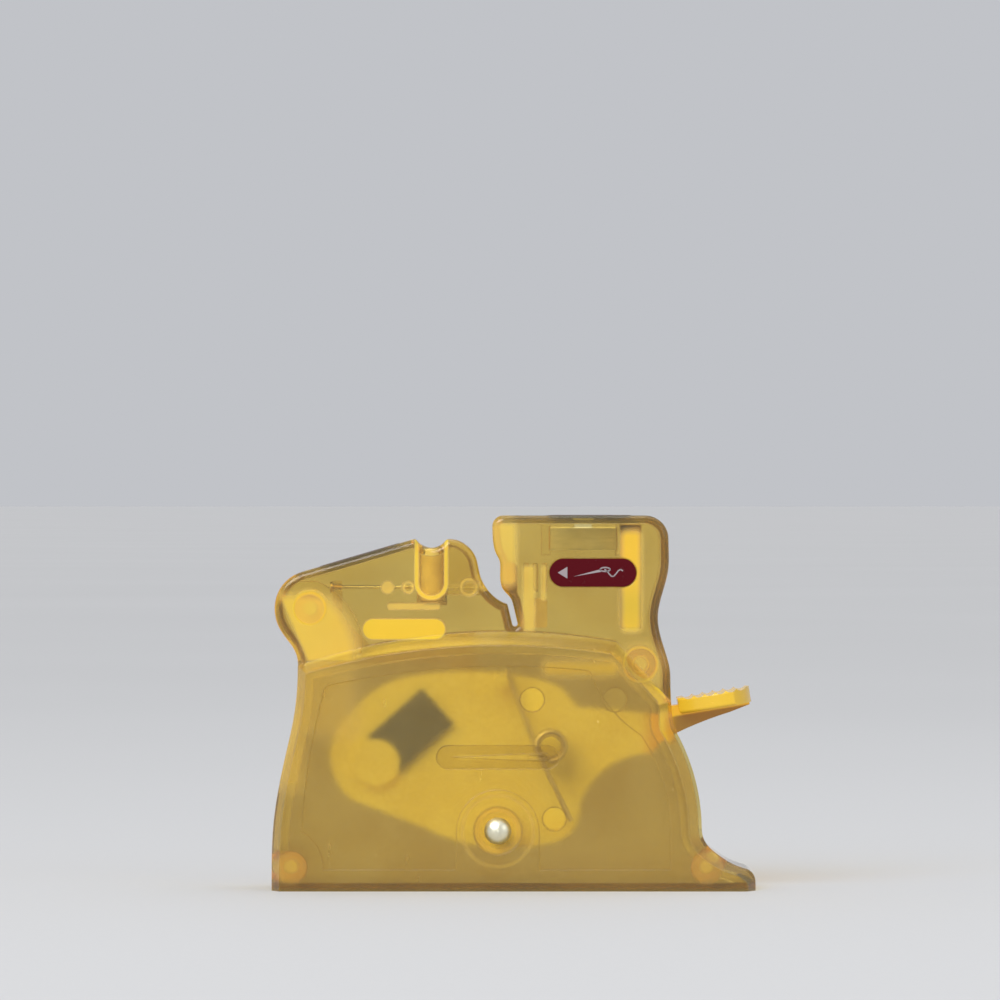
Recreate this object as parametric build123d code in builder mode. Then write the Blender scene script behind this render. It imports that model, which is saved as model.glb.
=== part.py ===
"""Desk needle threader: a pegged two-shell case, a finger lever on a pin, and a hook wire on a slide.

Frame: millimetres, +X right, +Y back, +Z up. The origin is at the middle of the base.
The two shells meet on the plane Y = 0, the finger lever sticks out to the right, and the needle stands
in the left tower.
"""
import os
from math import asin, atan2, cos, degrees, hypot, radians, sin, sqrt

from build123d import *

# ------------------------------------------------------------------ driving dimensions
wall = 1.15                 # wall of both shells
base_half = 35.1            # half the width of the base
tower_half = 6.5            # half the depth of the two towers
bulge_half = 9.0            # half the depth over the front and back bulges
tower_top = 54.4            # height of the right tower
edge_round = 0.9            # rounding of the towers' outer edges
slit_half = 0.4             # half the thread slit that lies on the middle plane

pivot = (-2.3, 8.7)         # lever pin, as (X, Z)
pin_radius = 1.25
running_clearance = 0.05
press_clearance = 0.01
lever_travel = 28.0         # degrees, the paddle going down

wall_arc = 29.6             # the right wall is an arc about the pin, and so are the two lines inside it
bulge_arc = 27.6
panel_arc = 25.0

needle_x = -11.9            # axis of the needle channel
needle_radius = 0.9
needle_floor = 42.5         # where the needle's eye end stands
saddle_z = 49.7             # low point of the saddle at the needle's mouth
hook_z = 43.95              # height of the hook wire, level with a standing needle's eye
hook_radius = 0.25

label_thickness = 0.2
label_proud = 0.05

os.makedirs("parts", exist_ok=True)


def write(part, name):
    """Label a finished piece and write it as the STEP file of that name."""
    part.label = name
    export_step(part, f"parts/{name}.step")


def about_pin(radius, height):
    """The point at that height on a circle about the pin, on its right."""
    return (pivot[0] + sqrt(radius**2 - (height - pivot[1]) ** 2), height)


def layer(depth):
    """The plane Y = depth, seen from the front, so that its own X and Y are the frame's X and Z."""
    return Plane.XZ.offset(-depth)


# ------------------------------------------------------------------ outlines of the case, as (X, Z)
waist = (-31.3, 32.6)
shoulder = (-34.7, 40.9)
corner_end = (-30.75, 46.2)
saddle_left = (-14.2, 51.05)
saddle_right = (-9.8, 50.9)
saddle_round = 0.5
notch_floor = (-0.9, 41.5)
left_corner, right_corner = 1.6, 3.4        # rounding of the right tower's top corners
tower_left = (-3.1, tower_top - left_corner)
tower_right = (22.5, tower_top - right_corner)
slot_direction, slot_depth, slot_half = (0.7, -2.9), 3.0, 0.4        # thread slot under the V notch
lever_slot_top = (22.85, 27.4)
slot_lean = (0.05, -1)      # directions of the right side at the lever slot and of the foot's top
foot_lean = (1, -0.25)
lever_slot_bottom = 7.4


def right_side(start, radius, heel, foot, toe, base_end):
    """Edges from start down the right side, an arc about the pin, then out over the foot to the base."""
    upper = about_pin(radius, 23.0)
    lower = about_pin(radius, 9.0)
    with BuildLine() as side:
        Spline(start, upper, tangents=[slot_lean, (upper[1] - pivot[1], pivot[0] - upper[0])])
        ThreePointArc(upper, about_pin(radius, 16.0), lower)
        Spline(lower, heel, foot, tangents=[(lower[1] - pivot[1], pivot[0] - lower[0]), foot_lean])
        Spline(foot, toe, base_end, tangents=[foot_lean, (0, -1)])
        Line(base_end, (base_end[0], 0))
        Line((base_end[0], 0), (-base_end[0], 0))
    return side.edges()


def outer_right_side():
    """The case's own right side, foot and base."""
    return right_side(lever_slot_top, wall_arc, (29.4, 5.4), (33.6, 3.2), (34.75, 2.4), (base_half, 1.1))


def case_left_side():
    """The left side from the base up to the waist."""
    with BuildLine() as side:
        Spline((-base_half, 0), (-34.75, 10.4), (-32.9, 20.4), waist, tangents=[(0, 1), (0, 1)])
    return side.edges()


def case_outline():
    """The whole case from the front: left tower, saddle, V notch, thread slot, right tower and foot."""
    down = Vector(*slot_direction).normalized()
    across = Vector(-down.Y, down.X)
    slot_left = Vector(*notch_floor) + down * slot_depth
    slot_right = slot_left + across * 2 * slot_half
    notch_right = Vector(*notch_floor) + across * 2 * slot_half
    with BuildLine() as outline:
        Spline(waist, (-32.9, 36.4), shoulder, tangents=[(0, 1), (0, 1)])
        ThreePointArc(shoulder, (-33.3, 44.6), corner_end)
        Line(corner_end, saddle_left)
        ThreePointArc(saddle_left, (needle_x, saddle_z), saddle_right)
        Spline(saddle_right, (-7.3, 50.4), (-5.5, 48.3), (-4.85, 45.6), (-4.0, 43.9), notch_floor)
        Line(notch_floor, slot_left)
        ThreePointArc(slot_left, slot_left + (down + across) * slot_half, slot_right)
        Line(slot_right, notch_right)
        Spline(notch_right, (-1.6, 43.8), (-1.95, 47.4), tower_left, tangents=[-down, (0, 1)])
        RadiusArc(tower_left, (tower_left[0] + left_corner, tower_top), left_corner)
        Line((tower_left[0] + left_corner, tower_top), (tower_right[0] - right_corner, tower_top))
        RadiusArc((tower_right[0] - right_corner, tower_top), tower_right, right_corner)
        Spline(
            tower_right,
            (22.45, 46.4),
            (20.95, 39.4),
            (22.6, 32.6),
            lever_slot_top,
            tangents=[(0, -1), slot_lean],
        )
    return case_left_side() + outline.edges() + outer_right_side()


def bulge_root_outline():
    """Where the bulge leaves the tower's face: the lower part, closed by an arc and a slanting line."""
    with BuildLine() as outline:
        ThreePointArc(waist, (-8, 37.3), (15.0, 36.0))
        Line((15.0, 36.0), lever_slot_top)
    return case_left_side() + outline.edges() + outer_right_side()


def bulge_face_outline():
    """The bulge's front edge, inside its root by the width of the sloping step."""
    left_top = (-30.1, 31.6)
    corner = (14.2, 34.3)
    right_top = (21.0, 27.0)
    with BuildLine() as outline:
        Spline((-33.9, 0), (-33.6, 9.4), (-31.6, 20.4), left_top, tangents=[(0, 1), (0, 1)])
        ThreePointArc(left_top, (-8, 35.35), corner)
        Line(corner, right_top)
    side = right_side(right_top, bulge_arc, (27.6, 4.6), (32.2, 2.3), (33.4, 1.6), (33.9, 0.8))
    return outline.edges() + side


def panel_outline():
    """The shallow frosted panel: it stands off the right wall, the corner boss and the pin's arch."""
    foot = 3.1
    arch = 6.0
    left, right = pivot[0] - arch, pivot[0] + arch
    upper_right = about_pin(panel_arc, 22.6)
    lower_right = about_pin(panel_arc, 8.4)
    with BuildLine() as outline:
        ThreePointArc((-30.7, 8.6), (-29.6, 19.0), (-27.4, 29.2))
        ThreePointArc((-27.4, 29.2), (-27.1, 29.65), (-26.5, 29.9))
        ThreePointArc((-26.5, 29.9), (-8.0, 32.4), (10.6, 32.0))
        ThreePointArc((10.6, 32.0), (11.1, 31.7), (11.35, 30.9))
        ThreePointArc((11.35, 30.9), (13.6, 27.1), upper_right)
        ThreePointArc(upper_right, about_pin(panel_arc, 15.0), lower_right)
        Polyline(lower_right, (lower_right[0], foot), (right, foot), (right, pivot[1]))
        ThreePointArc((right, pivot[1]), (pivot[0], pivot[1] + arch), (left, pivot[1]))
        Polyline((left, pivot[1]), (left, foot), (-27.6, foot))
        ThreePointArc((-27.6, foot), (-28.6, 6.8), (-30.7, 8.6))
    return outline.edges()


# ------------------------------------------------------------------ the two shells
plaque_centre, plaque_size = (-2.3, 19.4), (17.7, 3.4)
front_label_centre, front_label_size = (11.5, 46.1), (12.6, 4.1)
top_label_size = (12.1, 5.4)
top_label_plane = Plane((11.05, 0, tower_top), x_dir=(1, 0, 0), z_dir=(0, 0, 1))
slant = atan2(saddle_left[1] - corner_end[1], saddle_left[0] - corner_end[0])
slant_label_plane = Plane(
    ((corner_end[0] + saddle_left[0]) / 2, 0, (corner_end[1] + saddle_left[1]) / 2),
    x_dir=(cos(slant), 0, sin(slant)),
    z_dir=(-sin(slant), 0, cos(slant)),
)

peg_places = {                     # boss centre (X, Z) and radius
    "upper_left": ((-29.6, 40.9), 2.4),
    "upper_right": ((18.4, 32.8), 2.6),
    "lower_left": ((-32.3, 3.4), 2.4),
    "lower_right": ((28.0, 3.4), 2.35),
}
peg_radius = 1.0
peg_length = 3.2

socket_radius = 1.63               # seat of the needle guide block
socket_outer = 2.25
passage_radius = 0.6               # way of the hook wire through the shells
hump_left, hump_right = -9.6, -3.2
hump_floor = 42.9
panel_sink, plaque_sink, pin_counterbore = 0.3, 0.6, 1.0
pin_hole_depth = {1: bulge_half, -1: 7.0}       # through the front shell, blind in the back one


def at_saddle_corner(vertex):
    """True at the two corners where the tops of the tower meet the saddle."""
    return min(abs(vertex.X - saddle_left[0]), abs(vertex.X - saddle_right[0])) < 0.05


def outer_form(side):
    """One half of the case as a solid: side is +1 for the front half and -1 for the back half."""
    with BuildPart() as form:
        with BuildSketch(Plane.XZ) as case:
            make_face(case_outline())
            fillet(case.vertices().filter_by(at_saddle_corner), saddle_round)
        extrude(amount=side * tower_half)
        face_edges = form.faces().sort_by(Axis.Y)[0 if side > 0 else -1].edges()
        fillet(face_edges.filter_by(lambda edge: edge.center().Z > 0.01), edge_round)
        with BuildSketch(Plane.XZ):
            make_face(bulge_root_outline())
        extrude(amount=side * tower_half)
        with BuildSketch(layer(-side * tower_half)):
            make_face(bulge_root_outline())
        with BuildSketch(layer(-side * bulge_half)):
            make_face(bulge_face_outline())
        loft(ruled=True)
    return form.part


def room_inside(outline):
    """The outline's face drawn in by the wall, with splines for its offset curves, as STEP files need."""
    with BuildSketch() as room:
        make_face(outline)
        offset(amount=-wall)
    return room.sketch.to_splines(tolerance=1e-3)


def hollow_form(side):
    """The space inside one half, behind even walls, less the ribs, seats and bosses of both shells."""
    case_room = room_inside(case_outline())
    bulge_room = room_inside(bulge_face_outline())
    with BuildPart() as form:
        with BuildSketch(Plane.XZ):
            add(case_room)
        extrude(amount=side * (tower_half - wall))
        with BuildSketch(Plane.XZ):
            add(bulge_room)
        extrude(amount=side * (bulge_half - wall))
        # peg bosses, and the ribs of the right tower
        with BuildSketch(Plane.XZ):
            for centre, radius in peg_places.values():
                with Locations(centre):
                    Circle(radius)
            with Locations((17.0, 45.5)):
                Rectangle(3.0, 15.0)
            with Locations((-0.5, 45.0)):
                SlotOverall(5.2, 2.0, rotation=90)
        extrude(amount=side * bulge_half, mode=Mode.SUBTRACT)
        # cheeks of the hump, a slit apart, and the pillar round the needle guide
        with BuildSketch(layer(-side * slit_half)):
            with Locations(((hump_left + hump_right) / 2, (hump_floor + 52) / 2)):
                Rectangle(hump_right - hump_left, 52 - hump_floor)
        extrude(amount=side * tower_half, mode=Mode.SUBTRACT)
        with BuildSketch(Plane.XY.offset(needle_floor - 1.2)):
            with Locations((needle_x, 0)):
                Circle(socket_outer)
        extrude(amount=12, mode=Mode.SUBTRACT)
        # pin boss
        with BuildSketch(layer(-side * 4.8)):
            with Locations(pivot):
                Circle(3.5)
        extrude(amount=side * bulge_half, mode=Mode.SUBTRACT)
    return form.part


def shell_blank(side, hollow):
    """One half of the case round its hollow, with the cuts that both shells have."""
    with BuildPart() as blank:
        add(outer_form(side))
        add(hollow, mode=Mode.SUBTRACT)
        with BuildSketch(Plane.XY.offset(needle_floor - 0.62)):
            with Locations((needle_x, 0)):
                Circle(socket_radius)
        extrude(amount=12, mode=Mode.SUBTRACT)
        with BuildSketch(Plane.YZ.offset(needle_x - socket_outer - 0.5)):
            with Locations((0, hook_z)):
                Circle(passage_radius)
        extrude(amount=hump_right - needle_x + 3, mode=Mode.SUBTRACT)
        with BuildSketch(layer(-2.6)):
            with Locations((26.0, (lever_slot_top[1] + lever_slot_bottom) / 2)):
                Rectangle(9.0, lever_slot_top[1] - lever_slot_bottom)
        extrude(amount=-5.2, mode=Mode.SUBTRACT)
        with BuildSketch(top_label_plane, slant_label_plane):
            SlotOverall(top_label_size[0] + 0.2, top_label_size[1] + 0.2)
        extrude(amount=-(label_thickness - label_proud), mode=Mode.SUBTRACT)
        with BuildSketch(layer(-side * bulge_half)):
            make_face(panel_outline())
        extrude(amount=-side * panel_sink, mode=Mode.SUBTRACT)
        with BuildSketch(Plane.XZ):
            with Locations(pivot):
                Circle(pin_radius + press_clearance)
        extrude(amount=side * pin_hole_depth[side], mode=Mode.SUBTRACT)
    return blank.part


coil_centre = (5.4, 20.9)
coil_boss_radius = 1.5
spring_stop, spring_stop_radius = (5.9, 10.4), 1.7
guide_bar_left, guide_bar_right, guide_bar_z = -21.9, -9.9, (36.4, 39.4)

with BuildPart() as front_hollow:
    add(hollow_form(1))
    # thickened pad round the upper left boss
    with BuildSketch(layer(-0.9)):
        with BuildLine():
            Polyline((-22.0, 33.4), (-36, 33.4), (-36, 44.8), (-28.6, 44.8))
            ThreePointArc((-28.6, 44.8), (-24.0, 41.2), (-22.0, 33.4))
        make_face()
    extrude(amount=bulge_half, mode=Mode.SUBTRACT)
    # wire rests with a stiffening bar below them, and three ribs beside the label
    with BuildSketch(layer(-1.0)):
        with Locations((-18.3, hook_z), (-15.3, hook_z)):
            Circle(0.9)
    extrude(amount=bulge_half, mode=Mode.SUBTRACT)
    with BuildSketch(layer(-2.0)):
        with Locations((-14.5, 41.2)):
            SlotOverall(7.6, 0.9)
        with Locations((1.8, 45.4), (3.15, 45.4), (4.5, 45.4)):
            Rectangle(0.6, 4.0)
    extrude(amount=bulge_half, mode=Mode.SUBTRACT)
    # spring boss, its stop, and two low rests
    with BuildSketch(layer(-2.7)):
        with Locations(coil_centre):
            Circle(coil_boss_radius)
    extrude(amount=bulge_half, mode=Mode.SUBTRACT)
    with BuildSketch(layer(-3.6)):
        with Locations(spring_stop):
            Circle(spring_stop_radius)
    extrude(amount=bulge_half, mode=Mode.SUBTRACT)
    with BuildSketch(layer(-6.2)):
        with Locations((2.7, 27.7), (14.7, 27.7)):
            Circle(1.75)
    extrude(amount=bulge_half, mode=Mode.SUBTRACT)

with BuildPart() as front_shell:
    add(shell_blank(1, front_hollow.part))
    # bar that the hook carriage runs behind: it reaches past the middle plane
    with BuildSketch(layer(1.3)):
        with Locations(((guide_bar_left + guide_bar_right) / 2, sum(guide_bar_z) / 2)):
            SlotOverall(guide_bar_right - guide_bar_left, guide_bar_z[1] - guide_bar_z[0])
    extrude(amount=1.3 + tower_half - wall / 2)
    # sockets for the back shell's pegs
    with BuildSketch(Plane.XZ):
        for centre, _ in peg_places.values():
            with Locations(centre):
                Circle(peg_radius + 0.02)
    extrude(amount=peg_length + 0.4, mode=Mode.SUBTRACT)
    # counterbore at the pin, plaque, label recess and ring mark on the hump
    with BuildSketch(layer(-(bulge_half - pin_counterbore))):
        with Locations(pivot):
            Circle(3.4)
    extrude(amount=pin_counterbore, mode=Mode.SUBTRACT)
    with BuildSketch(layer(-(bulge_half - plaque_sink))):
        with Locations(plaque_centre):
            SlotOverall(*plaque_size)
    extrude(amount=plaque_sink, mode=Mode.SUBTRACT)
    with BuildSketch(layer(-(tower_half - label_thickness + label_proud))):
        with Locations(front_label_centre):
            SlotOverall(front_label_size[0] + 0.2, front_label_size[1] + 0.2)
    extrude(amount=1.0, mode=Mode.SUBTRACT)
    with BuildSketch(layer(-(tower_half - 0.3))):
        with Locations((-6.5, 44.0)):
            Circle(1.4)
            Circle(0.85, mode=Mode.SUBTRACT)
    extrude(amount=0.3, mode=Mode.SUBTRACT)
    # raised needle and eye on the blank plaque
    with BuildSketch(layer(-(bulge_half - plaque_sink))):
        with BuildLine():
            Polyline((-9.4, 19.4), (1.6, 19.9), (4.6, 20.0))
            ThreePointArc((4.6, 20.0), (5.2, 19.4), (4.6, 18.8))
            Polyline((4.6, 18.8), (1.6, 18.9), (-9.4, 19.4))
        make_face()
        with Locations((3.2, 19.4)):
            SlotOverall(2.2, 0.45, mode=Mode.SUBTRACT)
    extrude(amount=0.25)
write(front_shell.part, "front_shell")

rail_low, rail_high = (31.9, 32.75), (35.75, 36.4)

with BuildPart() as back_hollow:
    add(hollow_form(-1))
    # rails above and below the carriage's foot, and a pad behind it
    with BuildSketch(layer(1.5)):
        with Locations((-17.1, sum(rail_low) / 2)):
            Rectangle(13.4, rail_low[1] - rail_low[0])
        with Locations((-4.1, sum(rail_high) / 2)):
            Rectangle(12.2, rail_high[1] - rail_high[0])
    extrude(amount=-bulge_half, mode=Mode.SUBTRACT)
    with BuildSketch(layer(3.3)):
        with Locations((-17.0, 34.3)):
            Rectangle(10.0, 1.8)
    extrude(amount=-bulge_half, mode=Mode.SUBTRACT)
    # two ribs that hold the cutter blade
    with BuildSketch(layer(3.4)):
        with Locations((4.75, 50.9), (15.65, 50.9)):
            Rectangle(1.3, 4.6)
    extrude(amount=-bulge_half, mode=Mode.SUBTRACT)

with BuildPart() as back_shell:
    add(shell_blank(-1, back_hollow.part))
    with BuildSketch(layer(4.38)):
        with Locations((10.2, 51.0)):
            Rectangle(10.1, 3.5)
    extrude(amount=-0.44, mode=Mode.SUBTRACT)
    # thread gap over the blade
    with BuildSketch(layer(3.5)):
        with BuildLine():
            Polyline((8.2, tower_top + 1), (12.2, tower_top + 1), (10.8, 50.6), (9.6, 50.6), close=True)
        make_face()
    extrude(amount=-4.0, mode=Mode.SUBTRACT)
    # pegs
    with BuildSketch(layer(-peg_length)):
        for centre, _ in peg_places.values():
            with Locations(centre):
                Circle(peg_radius)
    extrude(amount=-(peg_length + 1.0))
write(back_shell.part, "back_shell")


# ------------------------------------------------------------------ lever
plate_half = 1.1
web_half = 2.2
hub_radius, hub_half = 3.4, 4.6
roller_boss, roller_boss_radius = (-20.0, 18.4), 3.4
spring_peg, spring_peg_radius = (-1.8, 30.2), 0.95
drive_radius = 21.5                       # from the pin to the peg that drives the carriage
drive_peg_radius = 0.9
drive_start = radians(lever_travel / 2)   # the drive peg swings evenly to both sides of the pin
drive_peg = (pivot[0] - drive_radius * sin(drive_start), pivot[1] + drive_radius * cos(drive_start))
hook_stroke = 2 * drive_radius * sin(drive_start)

pad_tilt = radians(9.3)
pad_along = (cos(pad_tilt), 0, sin(pad_tilt))
pad_up = (-sin(pad_tilt), 0, cos(pad_tilt))
pad_plane = Plane((23.9, 0, 25.5), x_dir=pad_along, z_dir=pad_up)
pad_length = 10.95
pad_thickness = 2.3
pad_ribs = 6

with BuildPart() as lever:
    with BuildSketch(layer(plate_half)):
        with BuildLine():
            ThreePointArc((-23.4, 12.9), (-26.7, 18.8), (-23.6, 25.7))
            ThreePointArc((-23.6, 25.7), (-20.2, 28.9), (-15.4, 30.9))
            ThreePointArc((-15.4, 30.9), (-6.5, 31.7), (4.4, 30.3))
            ThreePointArc((4.4, 30.3), (7.4, 28.8), (9.2, 26.5))
            Polyline((9.2, 26.5), (21.6, 25.4), (24.6, 26.4), (24.2, 23.0), (21.4, 21.4), (20.1, 19.7))
            ThreePointArc((20.1, 19.7), (14.6, 18.3), (9.6, 12.2))
            ThreePointArc((9.6, 12.2), (8.6, 8.6), (5.0, 6.6))
            ThreePointArc((5.0, 6.6), (-4.4, 6.2), (-13.2, 9.0))
            Line((-13.2, 9.0), (-23.4, 12.9))
        make_face()
    extrude(amount=2 * plate_half)
    # hub, spring peg and round boss on the front, drive peg on the back
    with BuildSketch(layer(hub_half)):
        with Locations(pivot):
            Circle(hub_radius)
    extrude(amount=2 * hub_half)
    with BuildSketch(Plane.XZ):
        with Locations(spring_peg):
            Circle(spring_peg_radius)
    extrude(amount=4.2)
    with BuildSketch(Plane.XZ):
        with Locations(roller_boss):
            Circle(roller_boss_radius)
    extrude(amount=plate_half + 1.3)
    with BuildSketch(Plane.XZ):
        with Locations(drive_peg):
            Circle(drive_peg_radius)
    extrude(amount=-3.2)
    # web from the arm out to the paddle's tip
    with BuildSketch(layer(web_half)):
        with BuildLine():
            Polyline(
                (19.2, 25.4),
                (21.6, 25.4),
                (22.4, 26.6),
                (25.5, 27.0),
                (34.2, 28.0),
                (34.4, 26.9),
                (31.6, 25.8),
            )
            ThreePointArc((31.6, 25.8), (27.6, 24.4), (23.7, 22.7))
            Polyline((23.7, 22.7), (21.4, 21.4), (20.1, 19.7), (19.2, 25.4))
        make_face()
    extrude(amount=2 * web_half)
    # paddle: a fan seen from above, rounded at its tip, with ribs across its top
    with BuildSketch(pad_plane) as fan:
        with BuildLine():
            Line((0.3, -4.2), (0.3, 4.2))
            Spline((0.3, 4.2), (4.2, 6.6), (8.4, 6.9), tangents=[(0.9, 0.9), (1, -0.25)])
            ThreePointArc((8.4, 6.9), (pad_length, 0), (8.4, -6.9))
            Spline((8.4, -6.9), (4.2, -6.6), (0.3, -4.2), tangents=[(-1, -0.25), (-0.9, 0.9)])
        make_face()
    extrude(amount=pad_thickness)
    fillet(lever.edges().filter_by(lambda edge: abs(edge.center().Y) > 2.4 and edge.center().X > 24), 0.45)
    rib_pitch = (pad_length - 1.6) / pad_ribs
    for rib in range(pad_ribs):
        along = 1.1 + rib_pitch * (rib + 0.5)
        groove = Plane(
            pad_plane.from_local_coords((along, 0, pad_thickness + 0.62)), x_dir=(1, 0, 0), z_dir=(0, 1, 0)
        )
        with BuildSketch(groove):
            Circle(0.95)
        extrude(amount=8, both=True, mode=Mode.SUBTRACT)
    with BuildSketch(Plane.XZ):
        with Locations(pivot):
            Circle(pin_radius + running_clearance)
    extrude(amount=hub_half + 1, both=True, mode=Mode.SUBTRACT)
write(lever.part, "lever")

with BuildPart() as sector_steel:
    with BuildSketch(layer(-plate_half)):
        with Locations((-15.0, 23.1)):
            Rectangle(10.6, 6.9, rotation=41.7)
        with Locations(roller_boss):
            Circle(roller_boss_radius + 0.05, mode=Mode.SUBTRACT)
    extrude(amount=0.9)
write(sector_steel.part, "sector_steel")

head_y = -(bulge_half - pin_counterbore)   # the pin's domed head rests in the counterbore
head_radius, head_height = 1.95, 1.0
dome_radius = (head_radius**2 + head_height**2) / (2 * head_height)
pin_back = 6.9

with BuildPart() as pivot_pin:
    with BuildSketch(Plane.YZ.offset(pivot[0])):
        with BuildLine():
            RadiusArc((head_y, pivot[1] + head_radius), (head_y - head_height, pivot[1]), -dome_radius)
            Polyline(
                (head_y - head_height, pivot[1]),
                (pin_back, pivot[1]),
                (pin_back, pivot[1] + pin_radius),
                (head_y, pivot[1] + pin_radius),
                (head_y, pivot[1] + head_radius),
            )
        make_face()
    revolve(axis=Axis((pivot[0], 0, pivot[1]), (0, 1, 0)))
write(pivot_pin.part, "pivot_pin")


# ------------------------------------------------------------------ return spring
wire_radius = 0.35
coil_radius = 2.1
coil_pitch = 0.76
coil_turns = 3
leg_layer = -3.3                           # Y of the working leg
coil_back = leg_layer - 2 * wire_radius - 0.15
coil_front = coil_back - coil_pitch * coil_turns
leg_length = 13.0

peg_gap = spring_peg_radius + wire_radius + 0.08
to_peg = (spring_peg[0] - coil_centre[0], spring_peg[1] - coil_centre[1])
leg_angle = atan2(to_peg[1], to_peg[0]) - asin((peg_gap + coil_radius) / hypot(*to_peg))
leg_start_angle = leg_angle + radians(90)
leg_start = (
    coil_centre[0] + coil_radius * cos(leg_start_angle),
    coil_centre[1] + coil_radius * sin(leg_start_angle),
)
leg_end = (leg_start[0] + leg_length * cos(leg_angle), leg_start[1] + leg_length * sin(leg_angle))

stop_gap = spring_stop_radius + wire_radius + 0.02
to_stop = (spring_stop[0] - coil_centre[0], spring_stop[1] - coil_centre[1])
fixed_angle = atan2(to_stop[1], to_stop[0]) + asin((stop_gap + coil_radius) / hypot(*to_stop))
fixed_start_angle = fixed_angle - radians(90)

fixed_root = (
    coil_centre[0] + coil_radius * cos(fixed_start_angle),
    coil_front,
    coil_centre[1] + coil_radius * sin(fixed_start_angle),
)
coil_plane = Plane(
    (coil_centre[0], coil_front, coil_centre[1]),
    x_dir=(cos(fixed_start_angle), 0, sin(fixed_start_angle)),
    z_dir=(0, 1, 0),
)
coil = coil_plane * Helix(coil_pitch, coil_pitch * coil_turns, coil_radius)

with BuildPart() as return_spring:
    with BuildSketch(Plane(coil @ 0, z_dir=coil % 0)):
        Circle(wire_radius)
    sweep(path=coil, is_frenet=True)
    with BuildSketch(Plane(fixed_root, z_dir=(cos(fixed_angle), 0, sin(fixed_angle)))):
        Circle(wire_radius)
    extrude(amount=11.0)
    with Locations(fixed_root):
        Sphere(wire_radius)
write(return_spring.part, "return_spring")

with BuildPart() as return_spring_leg:
    with BuildLine(layer(leg_layer)) as leg:
        CenterArc(coil_centre, coil_radius, degrees(leg_start_angle), 300)
        Line(leg_start, leg_end)
    with BuildSketch(Plane((leg_end[0], leg_layer, leg_end[1]), z_dir=(cos(leg_angle), 0, sin(leg_angle)))):
        Circle(wire_radius)
    sweep(path=leg.wires()[0])
write(return_spring_leg.part, "return_spring_leg")


# ------------------------------------------------------------------ hook carriage, its wire and ferrule
carriage_front, carriage_back = 1.7, 3.0
carriage_top = hook_z + 0.85
head_front = -0.65                         # the head that holds the ferrule reaches across the middle plane
gusset = 4.0
column_left, column_right = -26.4, -25.0
carriage_foot = (33.0, 35.5)
tail_half = 2.0
hook_tip = -13.2
ferrule_radius = 0.5

with BuildPart() as hook_carriage:
    with BuildSketch(layer(carriage_back)):
        with BuildLine():
            Polyline(
                (column_left, carriage_foot[0]),
                (column_left, carriage_top),
                (column_right, carriage_top),
                (column_right, carriage_foot[1] + gusset),
                (column_right + gusset, carriage_foot[1]),
                (drive_peg[0] + tail_half, carriage_foot[1]),
                (drive_peg[0] + tail_half, drive_peg[1] - 2.0),
                (drive_peg[0] - tail_half, drive_peg[1] - 2.0),
                (drive_peg[0] - tail_half, carriage_foot[0]),
                close=True,
            )
        make_face()
        with Locations((drive_peg[0], drive_peg[1] + 0.3)):
            SlotOverall(3.0, 2 * (drive_peg_radius + 0.1), rotation=90, mode=Mode.SUBTRACT)
    extrude(amount=carriage_back - carriage_front)
    with BuildSketch(layer(carriage_front)):
        with Locations(((column_left + column_right) / 2, hook_z)):
            Rectangle(column_right - column_left, 2 * (carriage_top - hook_z))
    extrude(amount=carriage_front - head_front)
    with BuildSketch(Plane.YZ.offset(column_left)):
        with Locations((0, hook_z)):
            Circle(ferrule_radius + press_clearance)
    extrude(amount=column_right - column_left, mode=Mode.SUBTRACT)
write(hook_carriage.part, "hook_carriage")

with BuildPart() as hook_ferrule:
    with BuildSketch(Plane.YZ.offset(column_left)):
        with Locations((0, hook_z)):
            Circle(ferrule_radius)
    extrude(amount=column_right - column_left)
    with BuildSketch(Plane.YZ.offset(column_left - 0.3)):
        with Locations((0, hook_z)):
            Circle(0.8)
    extrude(amount=0.3)
    with BuildSketch(Plane.YZ.offset(column_left - 0.3)):
        with Locations((0, hook_z)):
            Circle(hook_radius + press_clearance)
    extrude(amount=column_right - column_left + 0.3, mode=Mode.SUBTRACT)
write(hook_ferrule.part, "hook_ferrule")

with BuildPart() as hook_wire:
    with BuildSketch(Plane.YZ.offset(column_left - 0.3)):
        with Locations((0, hook_z)):
            Circle(hook_radius)
    extrude(amount=hook_tip - column_left + 0.3)
    # barb: a slanting nick cut from below, just behind the tip
    with BuildSketch(Plane.XZ):
        with BuildLine():
            Polyline(
                (hook_tip - 0.35, hook_z - 1),
                (hook_tip - 0.35, hook_z - 0.12),
                (hook_tip - 0.7, hook_z + 0.06),
                (hook_tip - 1.1, hook_z - 1),
                close=True,
            )
        make_face()
    extrude(amount=1, both=True, mode=Mode.SUBTRACT)
write(hook_wire.part, "hook_wire")


# ------------------------------------------------------------------ needle guide
block_radius = 1.6
tube_radius = 1.2
flange_z = saddle_z - 0.3

with BuildPart() as needle_guide_block:
    with BuildSketch(Plane.XY.offset(needle_floor - 0.6)):
        with Locations((needle_x, 0)):
            Circle(block_radius)
    extrude(amount=flange_z - needle_floor + 0.6)
    fillet(needle_guide_block.faces().sort_by(Axis.Z)[0].edges(), 0.5)
    with BuildSketch(Plane.XY.offset(needle_floor)):
        with Locations((needle_x, 0)):
            Circle(tube_radius + press_clearance)
    extrude(amount=10, mode=Mode.SUBTRACT)
    with BuildSketch(Plane.YZ.offset(needle_x - 3)):
        with Locations((0, hook_z)):
            Circle(0.45)
    extrude(amount=6, mode=Mode.SUBTRACT)
    with BuildSketch(Plane.YZ.offset(needle_x)):
        with Locations((0, 48.4)):
            Rectangle(2 * slit_half, 10)
    extrude(amount=3, mode=Mode.SUBTRACT)
write(needle_guide_block.part, "needle_guide_block")

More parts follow.
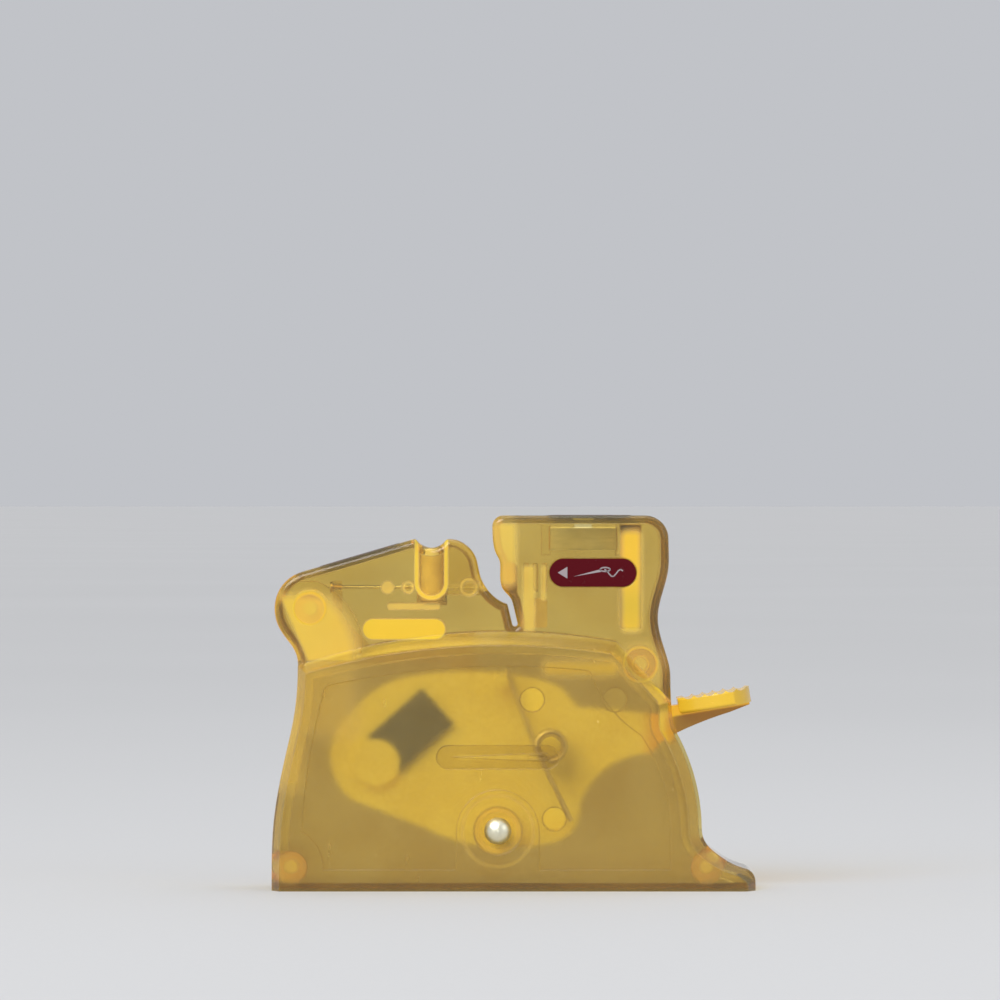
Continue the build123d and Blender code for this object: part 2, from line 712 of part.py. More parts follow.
with BuildPart() as needle_guide_tube:
    with BuildSketch(Plane.XZ):
        with BuildLine():
            Polyline(
                (needle_x + needle_radius, needle_floor),
                (needle_x + needle_radius, saddle_z - 0.7),
                (needle_x + 1.35, saddle_z),
                (needle_x + block_radius, saddle_z),
                (needle_x + block_radius, flange_z),
                (needle_x + tube_radius, flange_z),
                (needle_x + tube_radius, needle_floor),
                close=True,
            )
        make_face()
    revolve(axis=Axis((needle_x, 0, 0), (0, 0, 1)))
    with BuildSketch(Plane.YZ.offset(needle_x - 3)):
        with Locations((0, hook_z)):
            Circle(0.45)
    extrude(amount=6, mode=Mode.SUBTRACT)
    with BuildSketch(Plane.YZ.offset(needle_x)):
        with Locations((0, 48.4)):
            Rectangle(2 * slit_half, 10)
    extrude(amount=3, mode=Mode.SUBTRACT)
write(needle_guide_tube.part, "needle_guide_tube")


# ------------------------------------------------------------------ right tower's inserts
with BuildPart() as thread_clamp_block:
    with BuildSketch(layer(4.6)):
        with Locations((3.55, 40.2)):
            RectangleRounded(2.7, 4.2, 0.4)
    extrude(amount=9.2)
write(thread_clamp_block.part, "thread_clamp_block")

with BuildPart() as cutter_blade:
    with BuildSketch(layer(4.8)):
        with Locations((10.2, 51.0)):
            Rectangle(10.0, 3.4)
    extrude(amount=0.4)
    blade_edges = cutter_blade.faces().sort_by(Axis.Z)[-1].edges().filter_by(Axis.X)
    chamfer(blade_edges, length=0.18)
write(cutter_blade.part, "cutter_blade")


# ------------------------------------------------------------------ labels
with BuildPart() as front_label:
    with BuildSketch(layer(-(tower_half - label_thickness + label_proud))):
        with Locations(front_label_centre):
            SlotOverall(*front_label_size)
    extrude(amount=label_thickness)
write(front_label.part, "front_label")


def top_label(plane):
    """A pill label that lies in its recess and stands a little proud of the face."""
    with BuildPart() as label:
        with BuildSketch(plane.offset(label_proud)):
            SlotOverall(*top_label_size)
        extrude(amount=-label_thickness)
    return label.part


write(top_label(slant_label_plane), "left_top_label")
write(top_label(top_label_plane), "right_top_label")
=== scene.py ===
from math import cos, pi, radians, sin

import bpy
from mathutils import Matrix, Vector


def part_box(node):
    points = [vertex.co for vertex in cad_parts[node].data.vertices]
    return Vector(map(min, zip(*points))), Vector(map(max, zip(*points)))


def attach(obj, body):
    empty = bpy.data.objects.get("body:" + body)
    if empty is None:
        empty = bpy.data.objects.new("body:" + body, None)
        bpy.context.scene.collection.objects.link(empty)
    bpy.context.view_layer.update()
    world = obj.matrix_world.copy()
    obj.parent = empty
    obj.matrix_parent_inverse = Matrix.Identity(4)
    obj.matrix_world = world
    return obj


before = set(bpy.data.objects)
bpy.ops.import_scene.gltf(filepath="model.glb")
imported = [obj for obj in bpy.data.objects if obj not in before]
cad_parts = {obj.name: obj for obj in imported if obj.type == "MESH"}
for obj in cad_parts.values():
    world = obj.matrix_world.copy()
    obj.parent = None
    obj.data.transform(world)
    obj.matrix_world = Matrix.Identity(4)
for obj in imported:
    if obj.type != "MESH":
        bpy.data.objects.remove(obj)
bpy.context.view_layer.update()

MM = 0.001

# ------------------------------------------------------------------ where things are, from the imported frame
label_low, label_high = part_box("front_label")
tower_front = -label_low[1]
tube_low, tube_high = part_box("needle_guide_tube")
pin_low, pin_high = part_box("pivot_pin")

# Places from here to the end of this section are in millimetres, as (x, z) seen from the front.
needle_x = (tube_low[0] + tube_high[0]) / 2 / MM
pin = ((pin_low[0] + pin_high[0]) / 2 / MM, (pin_low[2] + pin_high[2]) / 2 / MM)

# the pad round the upper left boss, where painted glow goes: a disc, cut off by the wall at its left
# and by two level lines
pad_centre, pad_radius = (-33.6, 34.0), 11.8
pad_floor, pad_top = 33.2, 43.4
pad_left, pad_lean = -30.2, 0.43       # the pad's left edge leans with the wall
pad_glow = 0.7

wire_z = 43.95
lower_left_boss, lower_right_boss = (-32.3, 3.4), (28.0, 3.4)
upper_left_boss, upper_right_boss = (-29.6, 40.9), (18.4, 32.8)

# Rounded patches of painted glow, a brighter and less clear yellow for light gathered in thick plastic,
# over ribs, bosses and rings that are real geometry and over places that are not. Each is how much painted
# glow it gets, the low and high corners of its core, its outer radius about the core, its inner radius if it
# is a ring, and the softness of its edge.
glow_patches = [
    # guide bar, the stiffening bar over it, the wire rests and the ring on the hump
    (0.95, (-20.4, 37.9), (-11.4, 37.9), 1.5, 0, 0.2),
    (0.50, (-17.9, 41.2), (-11.1, 41.2), 0.45, 0, 0.2),
    (0.50, (-18.3, wire_z), (-18.3, wire_z), 0.95, 0, 0.25),
    (0.45, (-15.3, wire_z), (-15.3, wire_z), 0.95, 0.5, 0.2),
    (0.40, (-6.5, 44.0), (-6.5, 44.0), 1.4, 0.85, 0.25),
    # bosses
    (0.40, lower_left_boss, lower_left_boss, 2.3, 0, 0.4),
    (0.40, lower_right_boss, lower_right_boss, 2.3, 0, 0.4),
    (0.40, upper_right_boss, upper_right_boss, 3.0, 0, 1.5),
    (0.65, upper_right_boss, upper_right_boss, 2.7, 2.2, 0.2),
    (0.55, upper_right_boss, upper_right_boss, 1.35, 0.95, 0.15),
    (0.95, upper_left_boss, upper_left_boss, 2.7, 1.9, 0.5),
    # rings about the pin
    (0.30, pin, pin, 5.4, 4.9, 0.25),
    (0.40, pin, pin, 3.4, 2.7, 0.3),
    # top of the bulge
    (0.75, (5.2, 32.2), (14.2, 32.4), 1.0, 0, 1.2),
    (0.60, (-30.5, 24.0), (-24.5, 31.0), 0.8, 0, 3.2),
    # right tower: its rib, its wall at the notch and the ribs by the label
    (0.90, (16.6, 38.6), (17.5, 51.2), 1.0, 0, 0.8),
    (0.60, (-2.2, 45.2), (-0.6, 52.4), 1.0, 0, 0.8),
    (0.55, (1.8, 38.2), (2.6, 46.6), 0.5, 0, 0.4),
    (0.45, (4.3, 42.4), (4.4, 46.8), 0.35, 0, 0.25),
    # rim of the needle pocket
    (0.85, (needle_x, 44.6), (needle_x, 52.0), 2.45, 1.85, 0.18),
    # left wall of the bulge
    (0.50, (-33.0, 16.0), (-31.6, 29.5), 1.2, 0, 2.0),
]

# the plaque over the pin, and the needle raised on it: core, outer radius, no inner radius, softness
plaque_z = 19.4
plaque = ((pin[0] - 7.15, plaque_z), (pin[0] + 7.15, plaque_z), 1.7, 0, 0.15)
plaque_needle = ((pin[0] - 5.5, plaque_z), (pin[0] + 5.5, plaque_z), 0.35, 0, 0.2)


# ------------------------------------------------------------------ writing node trees
class Graph:
    """One material's nodes, with a short call for each kind of step."""

    def __init__(self, name):
        self.material = bpy.data.materials.new(name)
        self.material.use_nodes = True
        self.tree = self.material.node_tree
        self.shader = self.tree.nodes["Principled BSDF"]
        self.output = self.tree.nodes["Material Output"]
        self.coords = self.tree.nodes.new("ShaderNodeTexCoord").outputs["Object"]

    def feed(self, socket, value):
        """Link a socket to another node's output, or set its own value."""
        if isinstance(value, bpy.types.NodeSocket):
            self.tree.links.new(value, socket)
        else:
            socket.default_value = value

    def math(self, operation, first, second=0.0, third=0.0, clamp=False):
        step = self.tree.nodes.new("ShaderNodeMath")
        step.operation = operation
        step.use_clamp = clamp
        for socket, value in zip(step.inputs, (first, second, third)):
            self.feed(socket, value)
        return step.outputs[0]

    def plus(self, first, second, clamp=False):
        return self.math("ADD", first, second, clamp=clamp)

    def minus(self, first, second, clamp=False):
        return self.math("SUBTRACT", first, second, clamp=clamp)

    def times(self, first, second):
        return self.math("MULTIPLY", first, second)

    def share(self, first, part, second, rest):
        """Two values added up, each times its own number."""
        return self.plus(self.times(first, part), self.times(second, rest))

    def axes(self, vector=None):
        """The three parts of a vector, which is the object's own coordinates unless another is given."""
        split = self.tree.nodes.new("ShaderNodeSeparateXYZ")
        self.feed(split.inputs[0], self.coords if vector is None else vector)
        return split.outputs

    def stretched(self, x, y, z):
        """The object's coordinates, drawn out along an axis by a factor under 1."""
        mapping = self.tree.nodes.new("ShaderNodeMapping")
        self.feed(mapping.inputs["Vector"], self.coords)
        mapping.inputs["Scale"].default_value = (x, y, z)
        return mapping.outputs[0]

    def noise(self, size, detail=2.0, roughness=0.5, vector=None):
        """Noise from 0 to 1 whose lumps are about that size, in metres."""
        texture = self.tree.nodes.new("ShaderNodeTexNoise")
        self.feed(texture.inputs["Vector"], self.coords if vector is None else vector)
        texture.inputs["Scale"].default_value = 1 / size
        texture.inputs["Detail"].default_value = detail
        texture.inputs["Roughness"].default_value = roughness
        return texture.outputs["Fac"]

    def ramp(self, value, low, high, out_low=0.0, out_high=1.0):
        """A smooth step of value, from out_low at low to out_high at high."""
        step = self.tree.nodes.new("ShaderNodeMapRange")
        step.interpolation_type = "SMOOTHSTEP"
        for socket, number in zip(step.inputs, (value, low, high, out_low, out_high)):
            self.feed(socket, number)
        return step.outputs[0]

    def blend(self, amount, first, second):
        """A colour between two colours."""
        mix = self.tree.nodes.new("ShaderNodeMix")
        mix.data_type = "RGBA"
        self.feed(mix.inputs["Factor"], amount)
        for socket, colour in ((mix.inputs["A"], first), (mix.inputs["B"], second)):
            self.feed(socket, colour if isinstance(colour, bpy.types.NodeSocket) else (*colour, 1.0))
        return mix.outputs["Result"]

    def tinted(self, amount, colour, tint):
        """A colour multiplied by a tint, as far as the amount says."""
        mix = self.tree.nodes.new("ShaderNodeMix")
        mix.data_type = "RGBA"
        mix.blend_type = "MULTIPLY"
        self.feed(mix.inputs["Factor"], amount)
        self.feed(mix.inputs["A"], colour)
        mix.inputs["B"].default_value = (*tint, 1.0)
        return mix.outputs["Result"]

    def bump(self, height, depth, edge=0.0):
        """Relief from a height of 0 to 1 that stands for that depth, over edges rounded by that radius."""
        step = self.tree.nodes.new("ShaderNodeBump")
        if edge:
            rounded = self.tree.nodes.new("ShaderNodeBevel")
            rounded.samples = 4
            rounded.inputs["Radius"].default_value = edge
            self.feed(step.inputs["Normal"], rounded.outputs[0])
        self.feed(step.inputs["Height"], height)
        step.inputs["Distance"].default_value = depth
        self.feed(self.shader.inputs["Normal"], step.outputs["Normal"])

    def edges(self, radius):
        """1 along the body's edges, within about that radius of them, and 0 on its faces."""
        rounded = self.tree.nodes.new("ShaderNodeBevel")
        rounded.samples = 6
        rounded.inputs["Radius"].default_value = radius
        along = self.tree.nodes.new("ShaderNodeVectorMath")
        along.operation = "DOT_PRODUCT"
        self.feed(along.inputs[0], rounded.outputs[0])
        self.feed(along.inputs[1], self.tree.nodes.new("ShaderNodeNewGeometry").outputs["Normal"])
        return self.ramp(along.outputs["Value"], 0.995, 0.88)

    def set(self, **values):
        """Set or link the shader's sockets: an underscore in a name stands for a space."""
        for name, value in values.items():
            self.feed(self.shader.inputs[name.replace("_", " ")], value)

    def absorb(self, colour, density):
        """Fill the body with plain absorption, so that thick places are deeper in colour."""
        volume = self.tree.nodes.new("ShaderNodeVolumeAbsorption")
        volume.inputs["Color"].default_value = (*colour, 1.0)
        volume.inputs["Density"].default_value = density
        self.tree.links.new(volume.outputs[0], self.output.inputs["Volume"])

    def let_lamps_through(self, tint):
        """Lamp light passes the clear plastic straight, tinted, so that it reaches what is inside."""
        path = self.tree.nodes.new("ShaderNodeLightPath")
        clear = self.tree.nodes.new("ShaderNodeBsdfTransparent")
        clear.inputs["Color"].default_value = (*tint, 1.0)
        mix = self.tree.nodes.new("ShaderNodeMixShader")
        self.tree.links.new(path.outputs["Is Shadow Ray"], mix.inputs["Fac"])
        self.tree.links.new(self.shader.outputs[0], mix.inputs[1])
        self.tree.links.new(clear.outputs[0], mix.inputs[2])
        self.tree.links.new(mix.outputs[0], self.output.inputs["Surface"])


# ------------------------------------------------------------------ amber plastics
# base colours of the amber plastic, the colour its volume absorbs towards, a yellow for painted glow, a dark
# amber for painted shade along edges and in the plaque's recess, a darkening for the bulge's outward faces,
# the paddle's deeper yellow, and a dark brown for painted shade under the paddle
AMBER = (0.89, 0.76, 0.34)
DEEP_AMBER = (0.82, 0.67, 0.26)
GLOW_YELLOW = (0.90, 0.64, 0.03)
ABSORBED = (0.95, 0.85, 0.30)
EDGE_SHADE_AMBER = (0.42, 0.27, 0.05)
BULGE_DARKENING = (0.70, 0.63, 0.50)
PADDLE_AMBER = (0.80, 0.52, 0.035)
PAINTED_SHADE_UNDER_PADDLE = (0.30, 0.17, 0.03)
PADDLE_LEAN = 0.164         # rise of the paddle's underside for each step to the right
PLASTIC_IOR = 1.49
CLEAR_SHARE = 0.95          # how much of the light the thinnest plastic lets through
# the places of painted glow and of painted shade along edges take these off the clear share
GLOW_LOSS, FROST_LOSS, EDGE_SHADE_LOSS = 0.62, 0.05, 0.4         # what these places take off that share


def patch(graph, x, z, low, high, outer, inner, edge):
    """1 between the inner and outer radius about the box from low to high, 0 elsewhere, with soft edges."""
    squares = 0.0
    for value, start, end in ((x, low[0], high[0]), (z, low[1], high[1])):
        off_middle = graph.math("ABSOLUTE", graph.minus(value, (start + end) / 2 * MM))
        beyond = graph.math("MAXIMUM", graph.minus(off_middle, (end - start) / 2 * MM), 0.0)
        squares = graph.math("MULTIPLY_ADD", beyond, beyond, squares)
    away = graph.math("SQRT", squares)
    inside = graph.ramp(away, (outer + edge) * MM, (outer - edge) * MM)
    if inner:
        hole = graph.ramp(away, (inner + edge) * MM, (inner - edge) * MM)
        inside = graph.minus(inside, hole, clamp=True)
    return inside


def left_pad(graph, x, z):
    """1 in the pad round the upper left boss, 0 outside it."""
    left = graph.minus(x, pad_centre[0] * MM)
    up = graph.minus(z, pad_centre[1] * MM)
    away = graph.math("SQRT", graph.plus(graph.times(left, left), graph.times(up, up)))
    round_edge = graph.ramp(away, (pad_radius + 0.6) * MM, (pad_radius - 2.6) * MM)
    wall_line = graph.plus(x, graph.times(up, pad_lean))
    off_wall = graph.ramp(wall_line, (pad_left - 0.5) * MM, (pad_left + 0.5) * MM)
    above = graph.ramp(z, (pad_floor - 0.2) * MM, (pad_floor + 0.4) * MM)
    below = graph.ramp(z, (pad_top + 0.6) * MM, (pad_top - 1.6) * MM)
    return graph.times(graph.times(round_edge, off_wall), graph.times(above, below))


def glow_places(graph, x, z):
    """How much painted glow the plastic gets: the highest of the pad's share and the patches' shares."""
    total = graph.times(left_pad(graph, x, z), pad_glow)
    for glow_share, *place in glow_patches:
        total = graph.math("MAXIMUM", graph.times(patch(graph, x, z, *place), glow_share), total)
    return total


def plaque_recess(graph, x, z):
    """1 in the plaque's sunken floor and 0 on the raised needle along its middle."""
    return graph.minus(patch(graph, x, z, *plaque), patch(graph, x, z, *plaque_needle), clamp=True)


def bulge_frost(graph, y):
    """1 on the outward faces that stand proud of the towers' faces, which are the frosted bulge's."""
    normal = graph.tree.nodes.new("ShaderNodeNewGeometry").outputs["Normal"]
    outward = graph.math("GREATER_THAN", graph.times(graph.axes(normal)[1], y), 0.0)
    depth = graph.math("ABSOLUTE", y)
    proud = graph.ramp(depth, tower_front + 0.2 * MM, tower_front + 0.9 * MM)
    return graph.times(proud, outward)


def clouded_amber(graph, frost):
    """Amber with slow clouds, and a fine mottle where it is frosted."""
    clouds = graph.noise(11 * MM, detail=3.0)
    mottle = graph.noise(0.42 * MM, detail=2.0, roughness=0.7)
    speckle = graph.times(graph.times(graph.minus(mottle, 0.5), frost), 4.0)
    depth = graph.plus(graph.ramp(clouds, 0.3, 0.7), speckle, clamp=True)
    return graph.blend(depth, DEEP_AMBER, AMBER)


def shell_plastic(name, has_glow_and_plaque_shade):
    """Amber plastic: frosted on the bulge's outside, clear and glossy on the towers and inside."""
    graph = Graph(name)
    x, y, z = graph.axes()
    frost = bulge_frost(graph, y)
    colour = clouded_amber(graph, frost)
    clear_share = CLEAR_SHARE
    if has_glow_and_plaque_shade:
        # painted glow: a brighter, less clear yellow where light gathers in thick plastic
        painted_glow = glow_places(graph, x, z)
        colour = graph.blend(painted_glow, colour, GLOW_YELLOW)
        # painted shade: the plaque's sunken floor is darkened towards dark amber
        colour = graph.blend(graph.times(plaque_recess(graph, x, z), 0.3), colour, EDGE_SHADE_AMBER)
        clear_share = graph.minus(clear_share, graph.times(painted_glow, GLOW_LOSS))
    # painted shade: dark amber lines along every edge, where the plastic is also less clear
    edge_shade = graph.edges(0.28 * MM)
    # a fixed darker, browner colour on the bulge's outward faces
    colour = graph.tinted(frost, colour, BULGE_DARKENING)
    colour = graph.blend(graph.times(edge_shade, 0.8), colour, EDGE_SHADE_AMBER)
    clear_share = graph.minus(clear_share, graph.times(frost, FROST_LOSS))
    clear_share = graph.minus(clear_share, graph.times(edge_shade, EDGE_SHADE_LOSS), clamp=True)

    grain = graph.noise(0.16 * MM, detail=3.0, roughness=0.6)
    waves = graph.noise(7 * MM, detail=1.0)
    upright = graph.stretched(1, 1, 0.25)
    scuffs = graph.ramp(graph.noise(1.6 * MM, detail=4.0, roughness=0.7, vector=upright), 0.62, 0.75)
    smooth = graph.plus(0.05, graph.times(scuffs, 0.09))
    frosted = graph.plus(0.08, graph.times(grain, 0.12))
    roughness = graph.plus(smooth, graph.times(frost, frosted))
    relief = graph.share(waves, 0.35, graph.times(grain, frost), 0.5)
    graph.set(Base_Color=colour, Transmission_Weight=clear_share, Roughness=roughness, IOR=PLASTIC_IOR)
    graph.bump(relief, 0.05 * MM, edge=0.22 * MM)
    graph.absorb(ABSORBED, 90.0)
    graph.let_lamps_through((0.97, 0.93, 0.80))
    return graph.material


def paddle_amber(graph, plate_colour):
    """The paddle outside the case is a deeper yellow than the plate; painted shade darkens its web
    underneath.
    """
    x, _, z = graph.axes()
    underside = graph.math("MULTIPLY_ADD", x, PADDLE_LEAN, 21.4 * MM)
    below = graph.ramp(graph.minus(z, underside), 0.1 * MM, -0.3 * MM)
    shaded = graph.times(below, graph.ramp(x, 21.5 * MM, 24.0 * MM))
    outside = graph.blend(graph.ramp(x, 18.5 * MM, 20.5 * MM), plate_colour, PADDLE_AMBER)
    return graph.blend(shaded, outside, PAINTED_SHADE_UNDER_PADDLE)


def moulded_amber(name, colour, darker, clear, absorbed_density, has_paddle=False):
    """Amber plastic of the moving parts: satin, with flow marks and fine handling scratches."""
    graph = Graph(name)
    flow = graph.noise(5 * MM, detail=4.0, roughness=0.6, vector=graph.stretched(0.4, 1, 1))
    fine = graph.noise(0.25 * MM, detail=2.0)
    strokes = graph.noise(0.7 * MM, detail=5.0, roughness=0.8, vector=graph.stretched(0.15, 1, 1))
    scratches = graph.ramp(strokes, 0.6, 0.72)
    hue = graph.blend(graph.ramp(flow, 0.25, 0.75), darker, colour)
    if has_paddle:
        hue = paddle_amber(graph, hue)
    graph.set(
        Base_Color=hue,
        Transmission_Weight=graph.plus(clear, graph.times(flow, 0.12)),
        Roughness=graph.plus(0.2, graph.times(scratches, 0.2)),
        IOR=PLASTIC_IOR,
    )
    graph.bump(graph.plus(graph.times(fine, 0.5), flow), 0.03 * MM)
    graph.absorb(ABSORBED, absorbed_density)
    graph.let_lamps_through((0.85, 0.68, 0.38))
    return graph.material


# ------------------------------------------------------------------ metals, rubber and printed film
def metal(name, colour, darker, low, high, grain_size, along, depth=0.01 * MM):
    """Metal with streaks along one way, small stains, and a roughness from low to high that follows both."""
    graph = Graph(name)
    streaks = graph.noise(grain_size, detail=4.0, roughness=0.65, vector=graph.stretched(*along))
    stains = graph.noise(2.2 * MM, detail=3.0, roughness=0.6)
    tone = graph.ramp(graph.share(streaks, 0.6, stains, 0.4), 0.35, 0.65)
    graph.set(
        Base_Color=graph.blend(tone, darker, colour),
        Metallic=1.0,
        Roughness=graph.ramp(graph.share(streaks, 0.5, stains, 0.5), 0.3, 0.7, low, high),
    )
    graph.bump(streaks, depth)
    return graph.material


def soft_solid(name, colour, darker, low, high, depth):
    """Opaque moulded rubber or plastic with a fine grain."""
    graph = Graph(name)
    grain = graph.noise(0.2 * MM, detail=3.0, roughness=0.6)
    clouds = graph.noise(2 * MM, detail=3.0)
    graph.set(
        Base_Color=graph.blend(graph.ramp(clouds, 0.3, 0.7), darker, colour),
        Roughness=graph.ramp(grain, 0.3, 0.7, low, high),
    )
    graph.bump(grain, depth)
    return graph.material


def printed_film(name, colour, darker):
    """Glossy printed film: even ink with a faint screen, slight waves, and rubbed spots."""
    graph = Graph(name)
    screen = graph.noise(0.09 * MM, detail=1.0)
    rubbed = graph.ramp(graph.noise(1.1 * MM, detail=4.0, roughness=0.7), 0.55, 0.75)
    graph.set(
        Base_Color=graph.blend(graph.share(screen, 0.5, rubbed, 0.5), colour, darker),
        Roughness=graph.plus(0.22, graph.times(rubbed, 0.2)),
        Specular_IOR_Level=0.15,
    )
    graph.bump(graph.plus(graph.times(screen, 0.2), graph.noise(3 * MM, detail=1.0)), 0.012 * MM)
    return graph.material


UPRIGHT, SLANTED, TURNED = (1, 1, 0.15), (1, 1, 0.2), (1, 0.3, 1)      # ways that streaks run
ALONG_WIRE, ALONG_SLEEVE, ALONG_BLADE, COILED = (0.1, 1, 1), (0.2, 1, 1), (0.12, 1, 1), (0.3, 1, 0.3)

finishes = {
    "front_shell": shell_plastic("amber_front", has_glow_and_plaque_shade=True),
    "back_shell": shell_plastic("amber_back", has_glow_and_plaque_shade=False),
    "lever": moulded_amber(
        "amber_lever", (0.97, 0.97, 0.26), (0.92, 0.90, 0.22), clear=0.05, absorbed_density=40.0,
        has_paddle=True,
    ),
    "hook_carriage": moulded_amber(
        "slide_plastic", (0.86, 0.76, 0.40), (0.78, 0.66, 0.30), clear=0.8, absorbed_density=60.0
    ),
    "sector_steel": metal(
        "dark_steel", (0.115, 0.125, 0.15), (0.065, 0.07, 0.085), 0.4, 0.65, 0.5 * MM, SLANTED
    ),
    "pivot_pin": metal(
        "bright_pin", (0.88, 0.85, 0.66), (0.80, 0.77, 0.60), 0.3, 0.42, 0.6 * MM, TURNED
    ),
    "needle_guide_tube": metal(
        "guide_tube", (0.90, 0.90, 0.92), (0.74, 0.74, 0.76), 0.15, 0.35, 0.4 * MM, UPRIGHT
    ),
    "needle_guide_block": soft_solid(
        "guide_sleeve", (0.82, 0.82, 0.80), (0.64, 0.64, 0.62), 0.2, 0.4, 0.01 * MM
    ),
    "return_spring": metal(
        "spring_wire", (0.86, 0.84, 0.74), (0.72, 0.70, 0.62), 0.3, 0.5, 0.25 * MM, COILED
    ),
    "hook_wire": metal(
        "hook_steel", (0.78, 0.78, 0.77), (0.62, 0.62, 0.61), 0.1, 0.25, 0.15 * MM, ALONG_WIRE
    ),
    "hook_ferrule": metal(
        "ferrule_brass", (0.78, 0.60, 0.28), (0.60, 0.44, 0.19), 0.15, 0.35, 0.2 * MM, ALONG_SLEEVE
    ),
    "cutter_blade": metal(
        "blade_steel", (0.80, 0.80, 0.80), (0.66, 0.66, 0.66), 0.3, 0.45, 0.5 * MM, ALONG_BLADE, 0.001 * MM
    ),
    "thread_clamp_block": soft_solid(
        "clamp_rubber", (0.50, 0.40, 0.14), (0.40, 0.30, 0.09), 0.45, 0.7, 0.03 * MM
    ),
    "front_label": printed_film("front_print", (0.088, 0.0008, 0.005), (0.066, 0.0008, 0.003)),
    "left_top_label": printed_film("top_print", (0.045, 0.006, 0.010), (0.028, 0.004, 0.006)),
}
finishes["return_spring_leg"] = finishes["return_spring"]
finishes["right_top_label"] = finishes["left_top_label"]
for node, finish in finishes.items():
    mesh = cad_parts[node].data
    mesh.materials.clear()
    mesh.materials.append(finish)


# ------------------------------------------------------------------ printing on the labels
INK_DEPTH = 0.02 * MM
OVERLAP = 0.2               # each stretch of a line runs on by this share of half its width


def ribbon(points, width):
    """The outline of a line of that width along the points, as one polygon for each stretch."""
    stretches = []
    for start, end in zip(points, points[1:]):
        run = (end - start).normalized() * width / 2
        side = Vector((-run.y, run.x))
        near, far = start - run * OVERLAP, end + run * OVERLAP
        stretches.append([near - side, far - side, far + side, near + side])
    return stretches


def needle_and_thread():
    """A slanting needle with a wavy thread through its eye, in millimetres about the middle."""
    eye = [Vector((2.3 + 0.75 * cos(t * pi / 6), 0.55 + 0.30 * sin(t * pi / 6))) for t in range(13)]
    shaft = [[Vector((-2.6, -0.55)), Vector((1.7, 0.18)), Vector((1.6, 0.58))]]
    thread = [Vector((2.2 + 0.35 * t, 0.55 * cos(t * 0.9))) for t in range(9)]
    return ribbon(eye, 0.22) + shaft + ribbon(thread, 0.2)


def arrow():
    """A triangle that points left."""
    return [[Vector((-0.75, 0.0)), Vector((0.65, -0.85)), Vector((0.65, 0.85))]]


def printed(name, polygons, middle, across, up, ink):
    """Raise polygons, given in millimetres in a label's plane, off that label as thin ink."""
    outward = across.cross(up)
    mesh = bpy.data.meshes.new(name)
    corners, faces = [], []
    for polygon in polygons:
        first, count = len(corners), len(polygon)
        for lift in (-INK_DEPTH / 2, INK_DEPTH):
            for point in polygon:
                corners.append(middle + (across * point.x + up * point.y) * MM + outward * lift)
        faces.append([first + count + k for k in range(count)])
        faces.append([first + k for k in reversed(range(count))])
        for k in range(count):
            step = (k + 1) % count
            faces.append([first + k, first + step, first + count + step, first + count + k])
    mesh.from_pydata(corners, [], faces)
    mesh.materials.append(ink)
    piece = bpy.data.objects.new(name, mesh)
    bpy.context.collection.objects.link(piece)
    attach(piece, "case")


def moved(polygons, x, y, scale=1.0):
    """Polygons shifted and scaled in the label's plane."""
    return [[point * scale + Vector((x, y)) for point in polygon] for polygon in polygons]


pale_ink = printed_film("pale_ink", (0.36, 0.31, 0.32), (0.28, 0.24, 0.25))
right_way, back_way, up_way = Vector((1, 0, 0)), Vector((0, 1, 0)), Vector((0, 0, 1))

front_middle = Vector(((label_low[0] + label_high[0]) / 2, label_low[1], (label_low[2] + label_high[2]) / 2))
front_marks = moved(arrow(), -4.35, 0) + moved(needle_and_thread(), -0.4, -0.05, 0.95)
printed("front_print_marks", front_marks, front_middle, right_way, up_way, pale_ink)

right_low, right_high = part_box("right_top_label")
right_middle = Vector(((right_low[0] + right_high[0]) / 2, 0, right_high[2]))
right_marks = moved(needle_and_thread(), -1.4, -0.05, 0.95) + moved(arrow(), -4.4, 0, 0.8)
printed("right_top_print_marks", right_marks, right_middle, right_way, back_way, pale_ink)

left_low, left_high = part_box("left_top_label")
slope = Vector((16.55, 0, 4.85)).normalized()       # the way the left tower's top rises
half_label = slope.cross(back_way) * 0.1 * MM       # from the label's middle out to its face
left_middle = Vector(((left_low[0] + left_high[0]) / 2, 0, (left_low[2] + left_high[2]) / 2))
left_marks = moved(arrow(), 4.4, 0, -0.8) + moved(needle_and_thread(), -1.6, 0, 0.95)
printed("left_top_print_marks", left_marks, left_middle + half_label, slope, back_way, pale_ink)


# ------------------------------------------------------------------ floor, light and camera
def pale_floor():
    """Matt pale paper with a faint tooth."""
    graph = Graph("pale_floor")
    tooth = graph.noise(1.5 * MM, detail=2.0)
    drift = graph.noise(400 * MM, detail=1.0)
    graph.set(
        Base_Color=graph.blend(drift, (0.57, 0.57, 0.57), (0.60, 0.60, 0.60)),
        Roughness=graph.ramp(tooth, 0.2, 0.8, 0.75, 0.9),
        Specular_IOR_Level=0.15,
    )
    graph.bump(tooth, 0.02 * MM)
    return graph.material


FLOOR_RADIUS = 60.0         # so wide that its far edge meets the world's background behind the object
FLOOR_CORNERS = 72
turns = [2 * pi * corner / FLOOR_CORNERS for corner in range(FLOOR_CORNERS)]
rim = [(FLOOR_RADIUS * cos(turn), FLOOR_RADIUS * sin(turn), 0.0) for turn in turns]
floor_mesh = bpy.data.meshes.new("floor")
floor_mesh.from_pydata(rim, [], [list(range(FLOOR_CORNERS))])
floor_mesh.materials.append(pale_floor())
floor = bpy.data.objects.new("floor", floor_mesh)
bpy.context.collection.objects.link(floor)


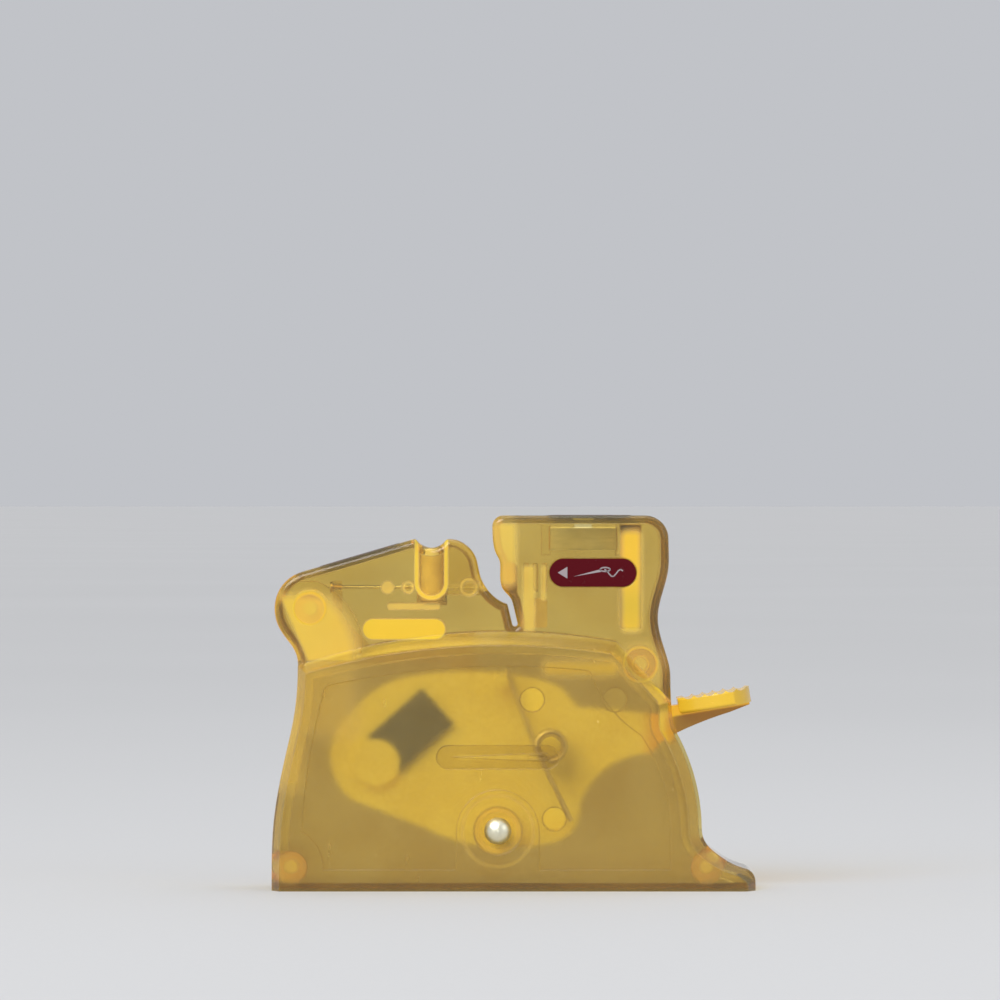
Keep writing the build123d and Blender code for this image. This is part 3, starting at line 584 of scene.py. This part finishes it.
def soft_light(name, place, size, power):
    """A square area light that faces the object, of that power in watts."""
    lamp = bpy.data.lights.new(name, "AREA")
    lamp.size = size
    lamp.energy = power
    holder = bpy.data.objects.new(name, lamp)
    holder.location = place
    towards = Vector((0, 0, 30 * MM)) - Vector(place)
    holder.rotation_euler = towards.to_track_quat("-Z", "Y").to_euler()
    bpy.context.collection.objects.link(holder)


soft_light("key", (-0.50, -0.62, 0.62), 0.45, 1.6)
soft_light("fill", (0.65, -0.55, 0.35), 0.5, 0.8)
soft_light("top", (0.05, 0.05, 0.85), 0.5, 0.8)


def wide_sun(name, direction, strength, spread):
    """Even light from a wide patch of sky, the same over the whole floor."""
    lamp = bpy.data.lights.new(name, "SUN")
    lamp.energy = strength
    lamp.angle = radians(spread)
    holder = bpy.data.objects.new(name, lamp)
    holder.rotation_euler = Vector(direction).to_track_quat("-Z", "Y").to_euler()
    bpy.context.collection.objects.link(holder)


wide_sun("front_sky", (0.35, 0.75, -0.62), 1.7, 40)
wide_sun("high_sky", (-0.2, -0.1, -1.0), 0.3, 60)

world = bpy.data.worlds.new("studio")
world.use_nodes = True
sky = world.node_tree.nodes["Background"]
sky.inputs["Color"].default_value = (0.86, 0.88, 0.93, 1.0)
sky.inputs["Strength"].default_value = 0.62
bpy.context.scene.world = world
bpy.context.scene.view_settings.view_transform = "Standard"

PIXELS_PER_MM = 6.85        # scale of the picture at the object's middle plane
PICTURE = 1000              # pixels on a side
aim_x, aim_z = -1.97 * MM, 56.64 * MM       # what the middle of the picture shows in that plane
camera_distance = 1.0
camera_data = bpy.data.cameras.new("camera")
camera_data.sensor_width = 36.0
camera_data.lens = camera_data.sensor_width * camera_distance / (PICTURE / PIXELS_PER_MM * MM)
camera_data.clip_start = 0.01
camera_data.clip_end = 200.0
camera = bpy.data.objects.new("camera", camera_data)
camera.location = (aim_x, -camera_distance, aim_z)
camera.rotation_euler = (radians(90), 0, 0)
bpy.context.collection.objects.link(camera)
bpy.context.scene.camera = camera
